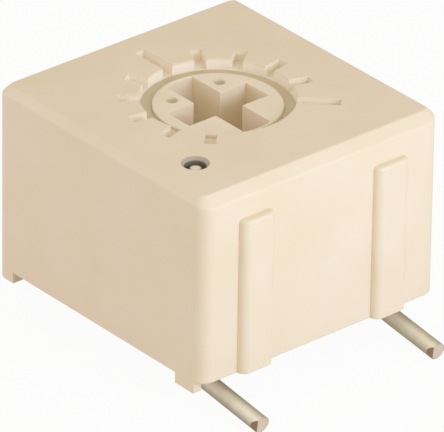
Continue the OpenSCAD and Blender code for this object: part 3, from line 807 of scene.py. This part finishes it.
def make_rotor():
    """Head, flange with its stop lug, and hub with two pegs; then the slot and the dimples."""
    rotor = turned("rotor_dial", [
        (0, HUB_LOW), (HUB_R, HUB_LOW), (HUB_R, FLANGE_LOW), (FLANGE_R, FLANGE_LOW),
        (FLANGE_R, FLANGE_TOP), (HEAD_R, FLANGE_TOP), (HEAD_R, Z_FACE - LIP),
        (HEAD_R - 0.3 * LIP, Z_FACE - 0.3 * LIP), (HEAD_R - LIP, Z_FACE), (0, Z_FACE)],
        CIRCLE_HEAD)
    start, end = 90 - LUG_HALF, 90 + LUG_HALF
    lug = prism("lug", arc((0, 0), CHAMBER_R - LUG_GAP, start, end, ARC)
                + arc((0, 0), FLANGE_R - OVER, end, start, ARC), FLANGE_LOW, FLANGE_TOP)
    # 24 points round a peg, none of them level with the axis
    pegs = [prism("peg", arc((side * PEG_X, 0), PEG_R, 5, 350, 23), HUB_LOW - PEG_L,
                  HUB_LOW + OVER / 2) for side in (-1, 1)]
    carve(rotor, "UNION", lug, *pegs)
    half = SLOT_W / 2
    end_turn = math.degrees(math.asin(half / SLOT_LONG_R))
    cross = [(SLOT_SHORT / 2, -half), (SLOT_SHORT / 2, half), (half, half)]
    cross += arc((0, 0), SLOT_LONG_R, 90 - end_turn, 90 + end_turn, ARC) + [(-half, half)]
    cross += [(-x, -y) for x, y in cross]
    carve(rotor, "DIFFERENCE", flared("slot", cross, Z_FACE - SLOT_H, Z_FACE))
    rise = math.sqrt(DIMPLE_BALL ** 2 - DIMPLE_R ** 2)
    rim_turn = math.degrees(math.asin(DIMPLE_R / DIMPLE_BALL))
    bowl = [(0, rise - DIMPLE_BALL)]
    bowl += [(x, rise + y) for x, y in arc((0, 0), DIMPLE_BALL, -85, rim_turn - 90, 10)]
    bowl += [(DIMPLE_R + LIP, DIMPLE_OVER), (0, DIMPLE_OVER)]
    for side in (-1, 1):
        dimple = turned("dimple", bowl, CIRCLE_SMALL)
        carve(rotor, "DIFFERENCE", moved(dimple, side * DIMPLE_X, DIMPLE_Y, Z_FACE))
    weld(rotor, WELD)
    return finished(rotor, rotor_finish, "turning", "rotor_plastic", "rotor")


# ---- leads -------------------------------------------------------------------

def make_lead(name, node, tree, side, root, top, set_over=0.0):
    """Upright in its hole, bent outwards under the body, and sheared off at the tip. The long
    lead's upper end is set over into the probe hole."""
    tip_z = LEAD_R * math.cos(LEAD_SLOPE)
    corner_z = tip_z + (LEAD_REACH - root) * math.tan(LEAD_SLOPE)
    run = Vector((0, -1, -math.tan(LEAD_SLOPE))).normalized()
    path = [(0, -root, top), (0, -root, corner_z), (0, -LEAD_REACH, tip_z)]
    if set_over:
        path[:1] = [(set_over, -root, top), (set_over, -root, WIRE_END),
                    (0, -root, WIRE_END - SET_OVER_H)]
    lead = grown(name, tree, {"Wire radius": LEAD_R - WIRE_SPARE, "Bend radius": BEND_R,
                              "Bend steps": BEND_STEPS}, path)
    shape = bmesh.new()
    shape.from_mesh(lead.data)
    # the cutters leave a slanted facet on one side of the tip
    edge = Vector(path[-1]) + Vector((-FACET_OFF * LEAD_R, 0, 0))
    slant = run * math.sin(FACET_TURN) + Vector((-1, 0, 0)) * math.cos(FACET_TURN)
    cut = bmesh.ops.bisect_plane(shape, geom=shape.verts[:] + shape.edges[:] + shape.faces[:],
                                 plane_co=edge, plane_no=slant, clear_outer=True)
    rim = [g for g in cut["geom_cut"] if isinstance(g, bmesh.types.BMEdge)]
    sheared = shape.faces.layers.float.new("sheared")
    for face in bmesh.ops.contextual_create(shape, geom=rim)["faces"]:
        face[sheared] = 1.0
    shape.normal_update()
    square, tip_zone = 0.95, 1       # faces square to the wire, and low down, are at the tip
    for face in shape.faces:
        at_tip = abs(face.normal.dot(run)) > square and face.calc_center_median().z < tip_zone
        if at_tip and not face[sheared]:
            face[sheared] = COPPER_SHARE
    bmesh.ops.recalc_face_normals(shape, faces=shape.faces)
    shape.to_mesh(lead.data)
    shape.free()
    # only the long lead comes up as high as this
    soften(lead, TOP_END_ROUND, 4, lambda at: 1.0 if at.z > Z_TOP - 0.5 else 0.0)
    moved(lead, side * LEAD_X, 0, 0, math.pi if side == 0 else 0.0)
    return finished(lead, wire_finish, "body", "lead_wire", node)


make_housing()
make_rotor()
formed_wire = wire_tree(wire_finish)
make_lead("lead_front_left", "terminal_1", formed_wire, -1, ROOT_FRONT, PROBE_POINT,
          set_over=LEAD_X - PROBE_X)
make_lead("lead_rear", "terminal_2", formed_wire, 0, ROOT_REAR, TOP_REAR)
make_lead("lead_front_right", "terminal_3", formed_wire, 1, ROOT_FRONT, TOP_RIGHT)

for node, finish in inner_finishes.items():
    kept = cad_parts[node].data
    kept.materials.clear()
    kept.materials.append(finish)


# ---- floor, light, camera ----------------------------------------------------

FLOOR_HALF = 2                       # metres
WHITE_SHARE = 0.95                   # of the floor as it is seen; the rest is lit board

# name, azimuth and elevation in degrees, distance and size in metres, power in watts, colour
PANELS = (("front_panel", 8, 20, 0.036, 0.020, 0.0071, "#D0DFFF"),
          ("fill_panel", -48, 15, 0.060, 0.040, 0.0016, "#FFFFFF"),
          ("rear_left_panel", -136, 17, 0.060, 0.030, 0.0079, "#DED6FF"))
PANEL_AIM = Vector((0, 0, 3 * MM))
SKY_COLOUR, SKY_STRENGTH = "#FFF9E9", 0.70

# The camera, as fitted to the block's edges, the dial's rings and the leads.
CAMERA_AZIMUTH, CAMERA_ELEVATION, CAMERA_ROLL = -40.5518, 29.0214, 0.8897      # degrees
CAMERA_BACK, CAMERA_RIGHT, CAMERA_UP = 177.934, 0.1600, 2.1913                 # mm
CAMERA_LENS, CAMERA_SENSOR = 648.65, 36                                        # mm


def direction(azimuth, elevation):
    """Unit vector; azimuth 0 stands in front of the ribbed face, 90 on the right."""
    a, e = math.radians(azimuth), math.radians(elevation)
    return Vector((math.sin(a) * math.cos(e), -math.cos(a) * math.cos(e), math.sin(e)))


def make_floor():
    """Plain white board. Seen directly or in a reflection it is close to pure white, and keeps
    a light shadow."""
    finish, tree = new_finish("white_board")
    path = add(tree, "ShaderNodeLightPath").outputs
    seen = maths(tree, "MAXIMUM", path["Is Camera Ray"], path["Is Glossy Ray"])
    either = maths(tree, "MAXIMUM", seen, path["Is Transmission Ray"])
    share = maths(tree, "MULTIPLY", either, WHITE_SHARE)
    board = add(tree, "ShaderNodeBsdfDiffuse", {"Color": linear("#DDDAD3")}).outputs[0]
    white = add(tree, "ShaderNodeEmission", {"Color": linear("#FFFFFF")}).outputs[0]
    mixed = add(tree, "ShaderNodeMixShader", {0: share, 1: board, 2: white}).outputs[0]
    add(tree, "ShaderNodeOutputMaterial", {"Surface": mixed})
    shape = bmesh.new()
    shape.faces.new([shape.verts.new((sx * FLOOR_HALF, sy * FLOOR_HALF, 0))
                     for sx, sy in ((-1, -1), (1, -1), (1, 1), (-1, 1))])
    floor = new_piece("floor", shape)
    floor.data.materials.append(finish)


def soft_light(name, azimuth, elevation, distance, size, power, colour):
    """Square panel aimed at the body."""
    away = direction(azimuth, elevation)
    panel = bpy.data.lights.new(name, "AREA")
    panel.size = size
    panel.energy = power
    panel.color = linear(colour)[:3]
    lamp = bpy.data.objects.new(name, panel)
    lamp.location = away * distance + PANEL_AIM
    lamp.rotation_mode = "QUATERNION"
    lamp.rotation_quaternion = away.to_track_quat("Z", "Y")
    bpy.context.scene.collection.objects.link(lamp)


def make_sky():
    """Even warm light from all round."""
    sky = bpy.data.worlds.new("studio")
    sky.use_nodes = True
    shade = sky.node_tree.nodes["Background"].inputs
    shade["Color"].default_value = linear(SKY_COLOUR)
    shade["Strength"].default_value = SKY_STRENGTH
    bpy.context.scene.world = sky


def make_camera():
    """Long lens, looking down past the front left corner."""
    turn, roll = math.radians(CAMERA_AZIMUTH), math.radians(CAMERA_ROLL)
    back = direction(CAMERA_AZIMUTH, CAMERA_ELEVATION)
    level = Vector((math.cos(turn), math.sin(turn), 0))
    rise = back.cross(level)
    right = level * math.cos(roll) + rise * math.sin(roll)
    up = rise * math.cos(roll) - level * math.sin(roll)
    eye = bpy.data.cameras.new("camera")
    eye.sensor_width = CAMERA_SENSOR
    eye.lens = CAMERA_LENS
    eye.clip_start = 0.01
    camera = bpy.data.objects.new("camera", eye)
    camera.matrix_world = Matrix((right, up, back)).transposed().to_4x4()
    camera.location = (back * CAMERA_BACK + right * CAMERA_RIGHT + up * CAMERA_UP) * MM
    bpy.context.scene.collection.objects.link(camera)
    bpy.context.scene.camera = camera


make_floor()
for panel_sizes in PANELS:
    soft_light(*panel_sizes)
make_sky()
bpy.context.scene.view_settings.view_transform = "Standard"
make_camera()
